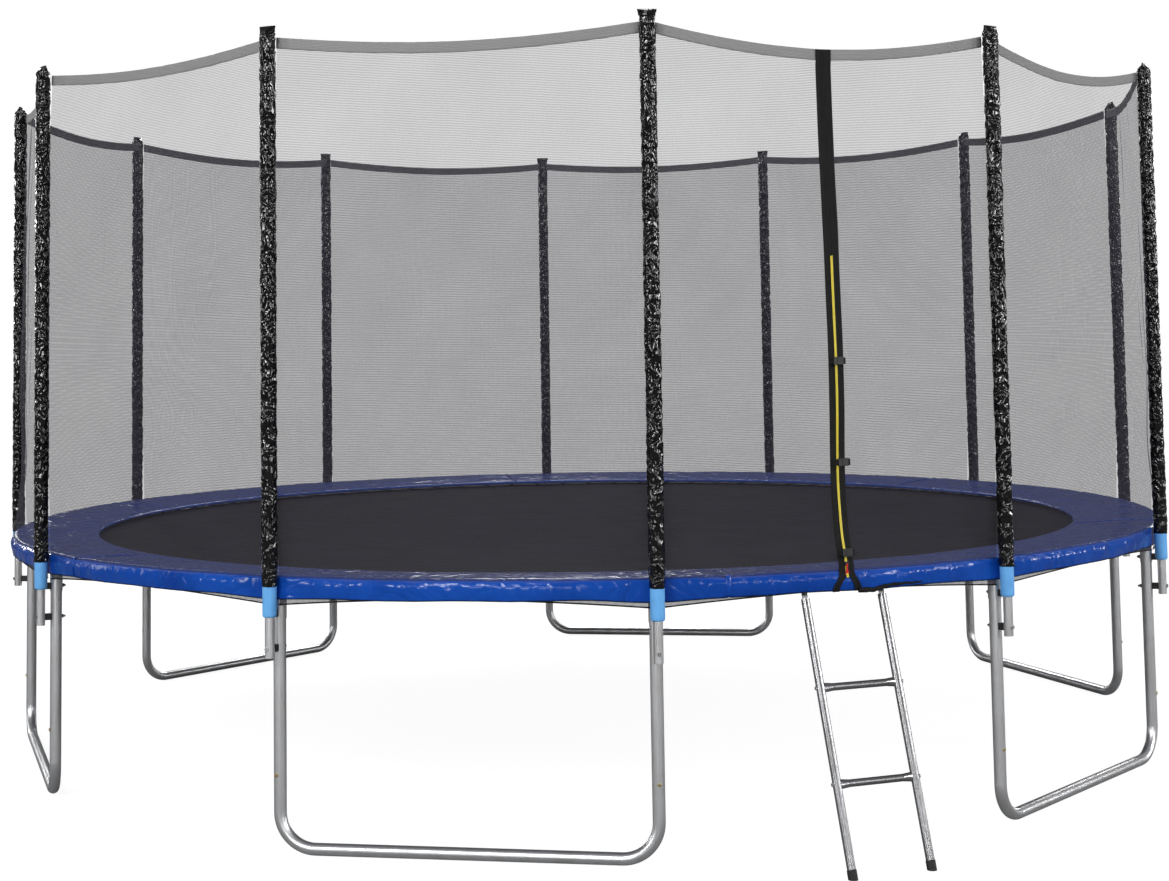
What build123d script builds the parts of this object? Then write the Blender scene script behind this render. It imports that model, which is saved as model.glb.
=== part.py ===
from build123d import *
import math
import os

# Round garden trampoline with an enclosure net and a hook-on ladder. Millimetres, +Z up.
# Origin: on the floor at the centre of the ring. -Y points out through the door and the ladder.
# Every repeated piece is modelled once at angle 0 (towards -Y: outward is -Y, sideways is X)
# and turned about Z to its place.

os.makedirs("parts", exist_ok=True)

# ---------------------------------------------------------------- driving dimensions
STATIONS = 12  # uprights, and enclosure poles, round the ring
STEP = 360 / STATIONS
FIRST = STEP / 2  # angle of the first station from -Y

RAIL_R = 2420.0  # centreline radius of the top rail
RAIL_Z = 880.0  # height of its centreline
TUBE_R = 21.0  # rail, upright and leg base tube
WALL = 1.5
TILT = 0.0358  # legs and poles run outward by this much per unit of drop

Z_JOINT = 291.0  # joint between upright and leg base
BEND_R = 120.0  # leg base bend, on the centreline
SPIGOT_L = 60.0
SHOULDER = 5.0
Z_LEG_TOP = 855.0
Z_TEE_LOW = 785.0
TEE_SPAN = 1.6  # half length of the tee's sleeve, degrees

POLE_OFFSET = 58.5  # pole axis outside the leg axis
POLE_R = 16.0
Z_POLE_LOW = 661.0
Z_POLE_JOIN = 1700.0
Z_POLE_TOP = 2695.0
BOLT_ZS = (690.0, 805.0)
FOAM_R = 23.5
Z_FOAM_LOW = 795.5
SLEEVE_R = 26.0
Z_SLEEVE_LOW = 902.0
Z_SLEEVE_TOP = 2717.0

SPRINGS = 8  # per rail section
SPRING_STEP = STEP / SPRINGS
SPRING_Z = 885.0
COIL_R = 11.5
COIL_IN, COIL_OUT = 2242.0, 2362.0  # radii of the coil's two ends
WIRE_R = 1.75
RING_R = 2216.0  # outer bar of a mat ring
MAT_R = 2180.0
MAT_Z = 884.0
MAT_T = 2.0

PAD_IN, PAD_OUT = 2105.0, 2446.0
SKIRT_IN, SKIRT_OUT = 2447.4, 2448.6
Z_SKIRT_LOW = 860.0

NET_T = 1.0
Z_NET_LOW = 937.5
Z_NET_TOP = 2624.5
Z_HEM_TOP = 2661.0
BAND_IN, BAND_OUT = 2446.2, 2447.0  # lower net band, behind the skirt
Z_BAND_LOW = 857.0
PANEL_HALF = 14.98  # half angle of a net panel, leaving a seam at each pole

LADDER_X = 140.0  # half the distance between the ladder's rails
LADDER_RISE = 880.0
LADDER_REACH = 326.0  # how far the feet stand out from the rail
LADDER_TUBE_R = 14.0
RUNG_ZS = (277.0, 566.0)

K = math.sqrt(1 + TILT * TILT)
BOLT_RISE = POLE_OFFSET * TILT / K  # how much higher a bolt is at the pole than at the leg
CCM = (Align.CENTER, Align.CENTER, Align.MIN)
OUTWARD = (90, 0, 0)  # turns a cylinder's axis to point outward, along -Y


def sin_d(a):
    return math.sin(math.radians(a))


def cos_d(a):
    return math.cos(math.radians(a))


def leg_r(z):
    return RAIL_R + TILT * (RAIL_Z - z)


def pole_r(z):
    return leg_r(z) + POLE_OFFSET


def net_r(z):
    # corner radius of the net, just inside the sleeves
    return pole_r(z) - SLEEVE_R - 2.4


def leg_plane(z):
    return Plane(origin=(0, -leg_r(z), z), x_dir=(1, 0, 0), z_dir=(0, TILT, 1))


def pole_plane(z):
    return Plane(origin=(0, -pole_r(z), z), x_dir=(1, 0, 0), z_dir=(0, TILT, 1))


def radial_plane(a):
    # local x is the radius, local y is height
    return Plane(origin=(0, 0, 0), x_dir=(sin_d(a), -cos_d(a), 0), z_dir=(-cos_d(a), -sin_d(a), 0))


def finish(part, name):
    part.label = name
    export_step(part, "parts/" + name + ".step")


def ring(unit, name, count=STATIONS, start=FIRST):
    # one node holding a copy of the unit at every place round the ring
    with BuildPart() as node:
        with PolarLocations(0, count, start_angle=start):
            add(unit)
    finish(node.part, name)


def arc_strip(r_in, r_out, half, z):
    # a thin curved strip seen from above, as a face at height z
    with BuildSketch(Plane.XY.offset(z)) as strip:
        with BuildLine():
            l1 = ThreePointArc(
                (-r_out * sin_d(half), -r_out * cos_d(half)), (0, -r_out), (r_out * sin_d(half), -r_out * cos_d(half))
            )
            l2 = Line(l1 @ 1, (r_in * sin_d(half), -r_in * cos_d(half)))
            l3 = ThreePointArc(l2 @ 1, (0, -r_in), (-r_in * sin_d(half), -r_in * cos_d(half)))
            Line(l3 @ 1, l1 @ 0)
        make_face()
    return strip.sketch


def chord_strip(r, t, half, z):
    # a thin straight strip seen from above, its inner corners at radius r
    x, y = r * sin_d(half), -r * cos_d(half)
    with BuildSketch(Plane.XY.offset(z)) as strip:
        with BuildLine():
            Polyline((-x, y - t), (x, y - t), (x, y), (-x, y), close=True)
        make_face()
    return strip.sketch


# ---------------------------------------------------------------- top rail: twelve curved tubes
with BuildPart() as slot_unit:
    with Locations((0, -2402, SPRING_Z)):
        Box(6, 13, 10)

END = math.degrees(0.5 / RAIL_R)  # half the gap between two rails inside a tee
with BuildPart() as rail_unit:
    with BuildSketch(radial_plane(-STEP / 2 + END)):
        with Locations((RAIL_R, RAIL_Z)):
            Circle(TUBE_R)
            Circle(TUBE_R - WALL, mode=Mode.SUBTRACT)
    revolve(axis=Axis.Z, revolution_arc=STEP - 2 * END)
    with PolarLocations(
        0, SPRINGS, start_angle=-STEP / 2 + SPRING_STEP / 2, angular_range=STEP - SPRING_STEP, endpoint=True
    ):
        add(slot_unit.part, mode=Mode.SUBTRACT)

for i in range(STATIONS):
    with BuildPart() as top_rail:
        add(rail_unit.part, rotation=(0, 0, STEP * i))
    finish(top_rail.part, f"top_rail_{i + 1:02d}")

# ---------------------------------------------------------------- tees joining the rails to the uprights
with BuildPart() as tee_unit:
    with BuildSketch(radial_plane(-TEE_SPAN)):
        with Locations((RAIL_R, RAIL_Z)):
            Circle(TUBE_R + 1.8)
    revolve(axis=Axis.Z, revolution_arc=2 * TEE_SPAN)
    with Locations(leg_plane(Z_TEE_LOW).location):
        Cylinder(TUBE_R + 2.0, (RAIL_Z - Z_TEE_LOW) * K, align=CCM)
        Cylinder(TUBE_R + 0.35, (857.4 - Z_TEE_LOW) * K, align=CCM, mode=Mode.SUBTRACT)
    with BuildSketch(radial_plane(-TEE_SPAN - 0.5)):
        with Locations((RAIL_R, RAIL_Z)):
            Circle(TUBE_R + 0.35)
    revolve(axis=Axis.Z, revolution_arc=2 * TEE_SPAN + 1, mode=Mode.SUBTRACT)
    with Locations(leg_plane(BOLT_ZS[1]).location):
        Cylinder(4.4, 70, rotation=OUTWARD, mode=Mode.SUBTRACT)
ring(tee_unit.part, "rail_tees")

# ---------------------------------------------------------------- uprights, with a reduced lower end
with BuildPart() as upright_unit:
    with Locations(leg_plane(Z_JOINT).location):
        height = (Z_LEG_TOP - Z_JOINT) * K
        Cylinder(TUBE_R, height, align=CCM)
        with Locations((0, 0, -SPIGOT_L)):
            Cylinder(TUBE_R - WALL - 0.3, SPIGOT_L, align=CCM)
            Cylinder(TUBE_R - WALL - 1.8, SPIGOT_L + SHOULDER, align=CCM, mode=Mode.SUBTRACT)
        with Locations((0, 0, SHOULDER)):
            Cylinder(TUBE_R - WALL, height - SHOULDER, align=CCM, mode=Mode.SUBTRACT)
        for z in BOLT_ZS:
            with Locations((0, 0, (z - Z_JOINT) * K)):
                Cylinder(4.4, 60, rotation=OUTWARD, mode=Mode.SUBTRACT)
        with Locations((0, 0, -25 * K)):
            Cylinder(2.7, 30, rotation=OUTWARD, align=CCM, mode=Mode.SUBTRACT)
ring(upright_unit.part, "leg_uprights")

# ---------------------------------------------------------------- U-shaped leg bases standing on the floor
with BuildPart() as screw_hole:
    with Locations(leg_plane(Z_JOINT - 25).location):
        Cylinder(2.7, 30, rotation=OUTWARD, align=CCM)

low_r, top_r = leg_r(TUBE_R), leg_r(Z_JOINT - 0.1)
low_y, top_y = low_r * cos_d(FIRST), top_r * cos_d(FIRST)
rise = math.hypot(low_y - top_y, Z_JOINT - 0.1 - TUBE_R)
base_plane = Plane(
    origin=(0, -low_y, TUBE_R), x_dir=(1, 0, 0), z_dir=(0, -(Z_JOINT - 0.1 - TUBE_R) / rise, (low_y - top_y) / rise)
)
with BuildPart() as base_unit:
    with BuildLine(base_plane) as base_path:
        FilletPolyline(
            (-top_r * sin_d(FIRST), rise),
            (-low_r * sin_d(FIRST), 0),
            (low_r * sin_d(FIRST), 0),
            (top_r * sin_d(FIRST), rise),
            radius=BEND_R,
        )
    with BuildSketch(Plane(origin=base_path.line @ 0, z_dir=base_path.line % 0)):
        Circle(TUBE_R)
        Circle(TUBE_R - WALL, mode=Mode.SUBTRACT)
    sweep(path=base_path.line)
    add(screw_hole.part, rotation=(0, 0, FIRST), mode=Mode.SUBTRACT)
    add(screw_hole.part, rotation=(0, 0, -FIRST), mode=Mode.SUBTRACT)

for i in range(STATIONS // 2):
    with BuildPart() as leg_base:
        add(base_unit.part, rotation=(0, 0, STEP + 2 * STEP * i))
    finish(leg_base.part, f"leg_base_{i + 1}")

with BuildPart() as leg_screw_unit:
    with Locations(leg_plane(Z_JOINT - 25).location):
        with Locations((0, -TUBE_R - 0.1, 0)):
            Cylinder(6.5, 3.6, rotation=OUTWARD, align=CCM)
            fillet(leg_screw_unit.edges().sort_by(Axis.Y)[0], 1.6)
        with Locations((0, -TUBE_R + 5, 0)):
            Cylinder(2.4, 6, rotation=OUTWARD, align=CCM)
ring(leg_screw_unit.part, "leg_joint_screws")

# ---------------------------------------------------------------- enclosure poles in two lengths
with BuildPart() as pole_low_unit:
    with Locations(pole_plane(Z_POLE_LOW).location):
        height = (Z_POLE_JOIN - Z_POLE_LOW) * K
        Cylinder(POLE_R, height, align=CCM)
        Cylinder(POLE_R - WALL, height, align=CCM, mode=Mode.SUBTRACT)
        for z in BOLT_ZS:
            with Locations((0, 0, (z + BOLT_RISE - Z_POLE_LOW) * K)):
                Cylinder(4.4, 50, rotation=OUTWARD, mode=Mode.SUBTRACT)
ring(pole_low_unit.part, "pole_lower_tubes")

with BuildPart() as pole_top_unit:
    with Locations(pole_plane(Z_POLE_JOIN + 0.2).location):
        height = (Z_POLE_TOP - Z_POLE_JOIN - 0.2) * K
        Cylinder(POLE_R, height, align=CCM)
        with Locations((0, 0, -80)):
            Cylinder(POLE_R - WALL - 0.3, 80, align=CCM)
            Cylinder(POLE_R - WALL - 1.8, 80 + SHOULDER, align=CCM, mode=Mode.SUBTRACT)
        with Locations((0, 0, SHOULDER)):
            Cylinder(POLE_R - WALL, height - SHOULDER, align=CCM, mode=Mode.SUBTRACT)
ring(pole_top_unit.part, "pole_upper_tubes")

with BuildPart() as cap_unit:
    with Locations(pole_plane(Z_POLE_TOP + 0.1).location):
        Cylinder(POLE_R, 5, align=CCM)
        fillet(cap_unit.edges().sort_by(Axis.Z)[-1], 3)
        with Locations((0, 0, -14)):
            Cylinder(POLE_R - WALL - 0.2, 14, align=CCM)
ring(cap_unit.part, "pole_end_caps")

# ---------------------------------------------------------------- spacers, bolts and nuts holding each pole to its leg
with BuildPart() as spacer_unit:
    for z, grip in zip(BOLT_ZS, (TUBE_R, TUBE_R + 2)):
        with Locations(leg_plane(z).location):
            with Locations((0, -POLE_OFFSET / 2 - 1, 0)):
                Box(18, 32, 24)
    for z, grip in zip(BOLT_ZS, (TUBE_R, TUBE_R + 2)):
        with Locations(leg_plane(z).location):
            Cylinder(grip + 0.1, 40, mode=Mode.SUBTRACT)
            Cylinder(4.4, 200, rotation=OUTWARD, mode=Mode.SUBTRACT)
            with Locations((0, -POLE_OFFSET, 0)):
                Cylinder(POLE_R + 0.1, 40, mode=Mode.SUBTRACT)
ring(spacer_unit.part, "pole_spacers")

with BuildPart() as bolt_unit:
    for z in BOLT_ZS:
        spot = leg_plane(z)
        head = Plane(
            origin=spot.from_local_coords((0, -POLE_OFFSET - POLE_R - 0.1, 0)), x_dir=(1, 0, 0), z_dir=-spot.y_dir
        )
        with BuildSketch(head):
            RegularPolygon(7.5, 6)
        extrude(amount=5.4)
        with BuildSketch(head):
            Circle(4.0)
        extrude(amount=-(POLE_OFFSET + POLE_R + TUBE_R + 14))
ring(bolt_unit.part, "pole_bolts")

with BuildPart() as nut_unit:
    for z, grip in zip(BOLT_ZS, (TUBE_R, TUBE_R + 2)):
        spot = leg_plane(z)
        with BuildSketch(Plane(origin=spot.from_local_coords((0, grip + 0.1, 0)), x_dir=(1, 0, 0), z_dir=spot.y_dir)):
            RegularPolygon(7.5, 6)
            Circle(4.05, mode=Mode.SUBTRACT)
        extrude(amount=6.5)
ring(nut_unit.part, "pole_nuts")

# ---------------------------------------------------------------- foam tubes and sleeves round the poles
with BuildPart() as foam_unit:
    with Locations(pole_plane(Z_FOAM_LOW).location):
        height = (2690 - Z_FOAM_LOW) * K
        Cylinder(FOAM_R, height, align=CCM)
        Cylinder(POLE_R + 0.4, height, align=CCM, mode=Mode.SUBTRACT)
        with Locations((0, 15, 0)):
            Box(22, 30, 24, align=CCM, mode=Mode.SUBTRACT)
        with Locations((0, 0, (BOLT_ZS[1] + BOLT_RISE - Z_FOAM_LOW) * K)):
            Cylinder(8.4, POLE_R + 6.2, rotation=OUTWARD, align=CCM, mode=Mode.SUBTRACT)
ring(foam_unit.part, "pole_foam")

with BuildPart() as sleeve_unit:
    with Locations(pole_plane(Z_SLEEVE_LOW).location):
        height = (Z_SLEEVE_TOP - Z_SLEEVE_LOW) * K
        Cylinder(SLEEVE_R, height, align=CCM)
        Cylinder(SLEEVE_R - 1.6, height - 2, align=CCM, mode=Mode.SUBTRACT)
ring(sleeve_unit.part, "pole_sleeves")

# ---------------------------------------------------------------- springs between the rail and the mat rings
with BuildPart() as spring_unit:
    spring_plane = Plane(origin=(0, -COIL_IN, SPRING_Z), x_dir=(1, 0, 0), z_dir=(0, -1, 0))
    with Locations(spring_plane.location):
        Cylinder(COIL_R, COIL_OUT - COIL_IN, align=CCM)
        with Locations((0, 0, 2)):
            Cylinder(COIL_R - 1.6, COIL_OUT - COIL_IN - 4, align=CCM, mode=Mode.SUBTRACT)
    with BuildLine(radial_plane(0)) as outer_hook:
        FilletPolyline((COIL_OUT - 1, SPRING_Z), (2405, SPRING_Z), (2405, SPRING_Z - 8), radius=3.5)
    with BuildSketch(Plane(origin=outer_hook.line @ 0, z_dir=outer_hook.line % 0)):
        Circle(WIRE_R)
    sweep(path=outer_hook.line)
    with BuildLine(radial_plane(0)) as inner_hook:
        Bezier(
            (COIL_IN + 1, SPRING_Z), (COIL_IN - 8, SPRING_Z), (RING_R + 10, SPRING_Z + 4.2), (RING_R, SPRING_Z + 4.2)
        )
        CenterArc((RING_R, SPRING_Z), 4.2, 90, 130)
    with BuildSketch(Plane(origin=inner_hook.line @ 0, z_dir=inner_hook.line % 0)):
        Circle(WIRE_R)
    sweep(path=inner_hook.line)
ring(spring_unit.part, "springs", STATIONS * SPRINGS, SPRING_STEP / 2)

# ---------------------------------------------------------------- jumping mat, its border, tabs and rings
with BuildPart() as jumping_mat:
    with Locations((0, 0, MAT_Z)):
        Cylinder(MAT_R, MAT_T, align=CCM)
finish(jumping_mat.part, "jumping_mat")

with BuildPart() as mat_border:
    with Locations((0, 0, MAT_Z + MAT_T + 0.05)):
        Cylinder(MAT_R - 1, 2, align=CCM)
        Cylinder(MAT_R - 46, 2, align=CCM, mode=Mode.SUBTRACT)
finish(mat_border.part, "mat_border")

with BuildPart() as tab_unit:
    with Locations((0, -(MAT_R + 0.3 + 8), SPRING_Z)):
        Box(22, 16, 8)
        Cylinder(2.4, 60, rotation=(0, 90, 0), mode=Mode.SUBTRACT)
ring(tab_unit.part, "mat_ring_tabs", STATIONS * SPRINGS, SPRING_STEP / 2)

with BuildPart() as ring_unit:
    base = MAT_R + 8.3
    with BuildLine(Plane.XY.offset(SPRING_Z)) as loop:
        FilletPolyline((-7, -RING_R), (7, -RING_R), (18, -base), (-18, -base), radius=2.6, close=True)
    with BuildSketch(Plane(origin=loop.line @ 0, z_dir=loop.line % 0)):
        Circle(2.0)
    sweep(path=loop.line)
ring(ring_unit.part, "mat_rings", STATIONS * SPRINGS, SPRING_STEP / 2)

# ---------------------------------------------------------------- padded ring over the springs, its skirt and edging
with BuildPart() as pad_unit:
    with BuildSketch(radial_plane(-PANEL_HALF)):
        with BuildLine():
            Polyline(
                (PAD_IN, 899),
                (2380, 906.5),
                (PAD_OUT, 906.5),
                (PAD_OUT, 928),
                (PAD_OUT - 8, 933),
                (PAD_IN + 10, 917),
                (PAD_IN, 912),
                close=True,
            )
        make_face()
    revolve(axis=Axis.Z, revolution_arc=2 * PANEL_HALF)
ring(pad_unit.part, "safety_pad", start=0)

with BuildPart() as skirt_unit:
    extrude(arc_strip(SKIRT_IN, SKIRT_OUT, PANEL_HALF, Z_SKIRT_LOW), amount=72)
ring(skirt_unit.part, "pad_skirt", start=0)

with BuildPart() as piping_unit:
    extrude(arc_strip(SKIRT_IN, SKIRT_OUT, PANEL_HALF, Z_SKIRT_LOW - 3), amount=2.8)
ring(piping_unit.part, "pad_piping", start=0)

# ---------------------------------------------------------------- enclosure net: panels, hems and bottom cord
with BuildPart() as net_unit:
    loft(
        [
            arc_strip(BAND_IN, BAND_IN + NET_T, PANEL_HALF, Z_NET_LOW).face(),
            chord_strip(net_r(Z_NET_TOP), NET_T, PANEL_HALF, Z_NET_TOP).face(),
        ],
        ruled=True,
    )
ring(net_unit.part, "net_panels", start=0)

with BuildPart() as hem_unit:
    loft(
        [
            chord_strip(net_r(Z_NET_TOP), 2.0, PANEL_HALF, Z_NET_TOP + 0.3).face(),
            chord_strip(net_r(Z_HEM_TOP), 2.0, PANEL_HALF, Z_HEM_TOP).face(),
        ],
        ruled=True,
    )
ring(hem_unit.part, "net_top_hem", start=0)

with BuildPart() as band_unit:
    extrude(arc_strip(BAND_IN, BAND_OUT, PANEL_HALF, Z_BAND_LOW), amount=Z_NET_LOW - 0.3 - Z_BAND_LOW)
ring(band_unit.part, "net_lower_band", start=0)

with BuildPart() as cord_unit:
    with BuildSketch(radial_plane(-PANEL_HALF)):
        with Locations((2446.8, 854.7)):
            Circle(2.0)
    revolve(axis=Axis.Z, revolution_arc=2 * PANEL_HALF)
ring(cord_unit.part, "net_bottom_cord", start=0)

# ---------------------------------------------------------------- door: webbing band, zip, slider, pull and three buckles
foot_y = -(BAND_IN + NET_T)  # outer face of the door panel at its foot, on the centreline
head_y = -(net_r(Z_NET_TOP) * cos_d(PANEL_HALF) + NET_T)
run = math.hypot(head_y - foot_y, Z_NET_TOP - Z_NET_LOW)
UP_Y, UP_Z = (head_y - foot_y) / run, (Z_NET_TOP - Z_NET_LOW) / run  # direction of the zip


def on_door(s, off):
    # point s along the zip from its kink and off outward from the net
    return (foot_y + UP_Y * s - UP_Z * off, Z_NET_LOW + UP_Z * s + UP_Y * off)


def s_at(z):
    return (z - Z_NET_LOW) / UP_Z


def door_strip(half, off, thick, z_low, z_high):
    # strip lying on the door, following its kink over the pad's edge
    a, b = off, off + thick
    low_s, kink_a, kink_b = z_low, on_door(0, a), on_door(0, b)
    with BuildPart() as strip:
        with BuildSketch(Plane(origin=(half, 0, 0), x_dir=(0, -1, 0), z_dir=(-1, 0, 0))):
            with BuildLine():
                Polyline(
                    (-foot_y + a, low_s),
                    (-foot_y + a, kink_a[1]),
                    (-on_door(s_at(z_high), a)[0], on_door(s_at(z_high), a)[1]),
                    (-on_door(s_at(z_high), b)[0], on_door(s_at(z_high), b)[1]),
                    (-foot_y + b, kink_b[1]),
                    (-foot_y + b, low_s),
                    close=True,
                )
            make_face()
        extrude(amount=2 * half)
    return strip.part


BAND_T = 1.6
BAND_OFF = 2.0  # clears the skirt
COIL_OFF = BAND_OFF + BAND_T + 0.1
COIL_T = 1.2

finish(door_strip(28.0, BAND_OFF, BAND_T, Z_BAND_LOW + 1, Z_NET_TOP - 1), "door_band")
finish(door_strip(4.0, COIL_OFF, COIL_T, 905.0, 1950.0), "zipper_coil")


def door_plane(z, off):
    # local x is sideways, local y runs up the zip, local z points out of the door
    y, zz = on_door(s_at(z), off)
    return Plane(origin=(0, y, zz), x_dir=(1, 0, 0), z_dir=(0, -UP_Z, UP_Y))


# the slider straddles the teeth without touching them
Z_SLIDER = 941.0
SLIDER_L = 15.0
with BuildPart() as zip_slider:
    with BuildSketch(Plane(origin=door_plane(Z_SLIDER, 0).origin, x_dir=(1, 0, 0), z_dir=(0, UP_Y, UP_Z))):
        with BuildLine():
            low, roof = BAND_OFF + BAND_T + 0.5, COIL_OFF + COIL_T + 0.5
            Polyline(
                (-7, -low),
                (-4.6, -low),
                (-4.6, -roof),
                (4.6, -roof),
                (4.6, -low),
                (7, -low),
                (7, -roof - 1.4),
                (-7, -roof - 1.4),
                close=True,
            )
        make_face()
    extrude(amount=SLIDER_L)
    # bridge that carries the pull
    with Locations(door_plane(Z_SLIDER + 7.5, roof + 1.2).location):
        with Locations((-4.5, 0, 0), (4.5, 0, 0)):
            Box(1.6, 6, 5.2, align=CCM)
finish(zip_slider.part, "zip_slider")

pull_y, pull_z = on_door(s_at(Z_SLIDER + 7.5), roof + 4.4)
with BuildPart() as zip_pull:
    with Locations((0, pull_y, pull_z)):
        with Locations((0, 0, -20)):
            Box(6, 1.5, 40)
        Cylinder(1.3, 6.6, rotation=(0, 90, 0))
    with Locations((0, pull_y, pull_z - 33)):
        Box(11, 1.5, 20)
finish(zip_pull.part, "zip_pull")

# buckles cross the zip high enough for the slider to run under them
BUCKLE_ZS = {"lower": 985.0, "middle": 1278.0, "upper": 1607.0}
BUCKLE_OFF = 12.1
BUCKLE_T = 7.0
BUCKLE_X = -5.0  # puts the closed buckle across the middle of the band


def socket_at(z):
    with BuildPart() as socket:
        with Locations(door_plane(z, BUCKLE_OFF).location):
            with Locations((BUCKLE_X + 12, 0, 0)):
                Box(22, 25, BUCKLE_T, align=CCM)
            with Locations((BUCKLE_X + 10, 0, 1.5)):
                Box(20, 20, BUCKLE_T - 3, align=CCM, mode=Mode.SUBTRACT)
    return socket.part


with BuildPart() as buckle_sockets:
    for z in BUCKLE_ZS.values():
        add(socket_at(z))
finish(buckle_sockets.part, "buckle_sockets")


def strap_at(z, side, grip):
    # webbing from the buckle's outer end, down on to the door band
    with BuildPart() as strap:
        with Locations(door_plane(z, 0).location):
            with Locations((BUCKLE_X + side * (grip + 3), 0, BUCKLE_OFF + 2.5)):
                Box(6 + 2, 22, 2, align=CCM)
            with Locations((BUCKLE_X + side * (grip + 6), 0, BAND_OFF + BAND_T + 0.4)):
                Box(2, 22, BUCKLE_OFF + 2.5 + 2 - (BAND_OFF + BAND_T + 0.4), align=CCM)
    return strap.part


with BuildPart() as socket_straps:
    for z in BUCKLE_ZS.values():
        add(strap_at(z, 1, 24.3))
finish(socket_straps.part, "buckle_socket_straps")

for label, z in BUCKLE_ZS.items():
    with BuildPart() as clip:
        with Locations(door_plane(z, BUCKLE_OFF).location):
            with Locations((BUCKLE_X - 6.5, 0, 0)):
                Box(12, 25, BUCKLE_T, align=CCM)
            with Locations((BUCKLE_X + 6.5, 8, 2), (BUCKLE_X + 6.5, -8, 2)):
                Box(16, 3, BUCKLE_T - 4, align=CCM)
            with Locations((BUCKLE_X + 6.5, 0, 2)):
                Box(16, 4, BUCKLE_T - 4, align=CCM)
    finish(clip.part, f"buckle_clip_{label}")
    finish(strap_at(z, -1, 13.9), f"buckle_strap_{label}")

# ---------------------------------------------------------------- ladder hooked over the rail below the door
pivot_y = -math.sqrt(RAIL_R**2 - LADDER_X**2)  # rail axis beside each ladder rail
LEAN = math.degrees(math.atan2(LADDER_REACH, LADDER_RISE))
LADDER_L = math.hypot(LADDER_REACH, LADDER_RISE)


def ladder_plane(x, s):
    # on a ladder rail's axis, s down from the pivot, local z pointing down the rail
    return Plane(
        origin=(x, pivot_y - s * sin_d(LEAN), RAIL_Z - s * cos_d(LEAN)),
        x_dir=(1, 0, 0),
        z_dir=(0, -sin_d(LEAN), -cos_d(LEAN)),
    )


def s_of(z):
    return (RAIL_Z - z) / cos_d(LEAN)


HOOK_IN, HOOK_T, HOOK_W = 21.9, 2.5, 20.0
TUBE_START = 46.0
with BuildPart() as ladder_hooks:
    for x in (-LADDER_X, LADDER_X):
        side = Plane(origin=(x + HOOK_W / 2, pivot_y, RAIL_Z), x_dir=(0, -1, 0), z_dir=(-1, 0, 0))
        start, sweep_a = LEAN - 90, 140 - (LEAN - 90)
        with BuildSketch(side):
            with BuildLine():
                a1 = CenterArc((0, 0), HOOK_IN, start, sweep_a)
                a2 = CenterArc((0, 0), HOOK_IN + HOOK_T, start, sweep_a)
                Line(a1 @ 0, a2 @ 0)
                Line(a1 @ 1, a2 @ 1)
            make_face()
            with Locations(
                Location(((HOOK_IN + TUBE_START) / 2 * cos_d(start), (HOOK_IN + TUBE_START) / 2 * sin_d(start)), start)
            ):
                Rectangle(TUBE_START - HOOK_IN, HOOK_T)
        extrude(amount=HOOK_W)
        with Locations(ladder_plane(x, TUBE_START - 3).location):
            Cylinder(LADDER_TUBE_R, 3, align=CCM)
            Cylinder(LADDER_TUBE_R - WALL - 0.2, 22, align=CCM)
finish(ladder_hooks.part, "ladder_hooks")

with BuildPart() as rung_bolts:
    for z in RUNG_ZS:
        for x, turn in ((-LADDER_X, 90), (LADDER_X, -90)):
            side = 1 if x > 0 else -1
            with Locations((x + side * (LADDER_TUBE_R + 0.1), ladder_plane(x, s_of(z)).origin.Y, z)):
                Cylinder(6.0, 4, rotation=(0, side * 90, 0), align=CCM)
                Cylinder(3.0, 2 * LADDER_TUBE_R + 20, rotation=(0, -side * 90, 0), align=CCM)
finish(rung_bolts.part, "ladder_bolts")

for label, x in (("left", -LADDER_X), ("right", LADDER_X)):
    with BuildPart() as ladder_rail:
        with Locations(ladder_plane(x, TUBE_START + 0.1).location):
            Cylinder(LADDER_TUBE_R, LADDER_L - TUBE_START + 20, align=CCM)
            Cylinder(LADDER_TUBE_R - WALL, LADDER_L - TUBE_START + 20, align=CCM, mode=Mode.SUBTRACT)
        for z in RUNG_ZS:
            with Locations((x, ladder_plane(x, s_of(z)).origin.Y, z)):
                Cylinder(3.3, 60, rotation=(0, 90, 0), mode=Mode.SUBTRACT)
        split(bisect_by=Plane.XY.offset(6), keep=Keep.TOP)
    finish(ladder_rail.part, f"ladder_rail_{label}")

with BuildPart() as foot_sockets:
    for x in (-LADDER_X, LADDER_X):
        with Locations(ladder_plane(x, LADDER_L - 60).location):
            Cylinder(LADDER_TUBE_R + 0.15, 120, align=CCM)
    split(bisect_by=Plane.XY.offset(5.7), keep=Keep.TOP)
with BuildPart() as ladder_feet:
    for x in (-LADDER_X, LADDER_X):
        with Locations(ladder_plane(x, LADDER_L - 30).location):
            Cylinder(LADDER_TUBE_R + 1.7, 60, align=CCM)
    split(bisect_by=Plane.XY, keep=Keep.TOP)
    add(foot_sockets.part, mode=Mode.SUBTRACT)
finish(ladder_feet.part, "ladder_feet")

for label, z in zip(("lower", "upper"), RUNG_ZS):
    s = s_of(z)
    at = ladder_plane(0, s)
    half = LADDER_X - 2
    with BuildPart() as rung:
        for x, rx, ry in ((-half, 17.0, 6.5), (-95, 12.2, 12.0), (95, 12.2, 12.0), (half, 17.0, 6.5)):
            with BuildSketch(Plane(origin=at.from_local_coords((x, 0, 0)), x_dir=at.z_dir, z_dir=at.x_dir)):
                Ellipse(rx, ry)
        loft(ruled=True)
        with Locations(at.location):
            Cylinder(10.5, 190, rotation=(0, 90, 0), mode=Mode.SUBTRACT)
            Cylinder(3.3, 400, rotation=(0, 90, 0), mode=Mode.SUBTRACT)
        for x in (-LADDER_X, LADDER_X):
            with Locations(ladder_plane(x, s - 60).location):
                Cylinder(LADDER_TUBE_R + 0.15, 120, align=CCM, mode=Mode.SUBTRACT)
    finish(rung.part, f"ladder_rung_{label}")
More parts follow.
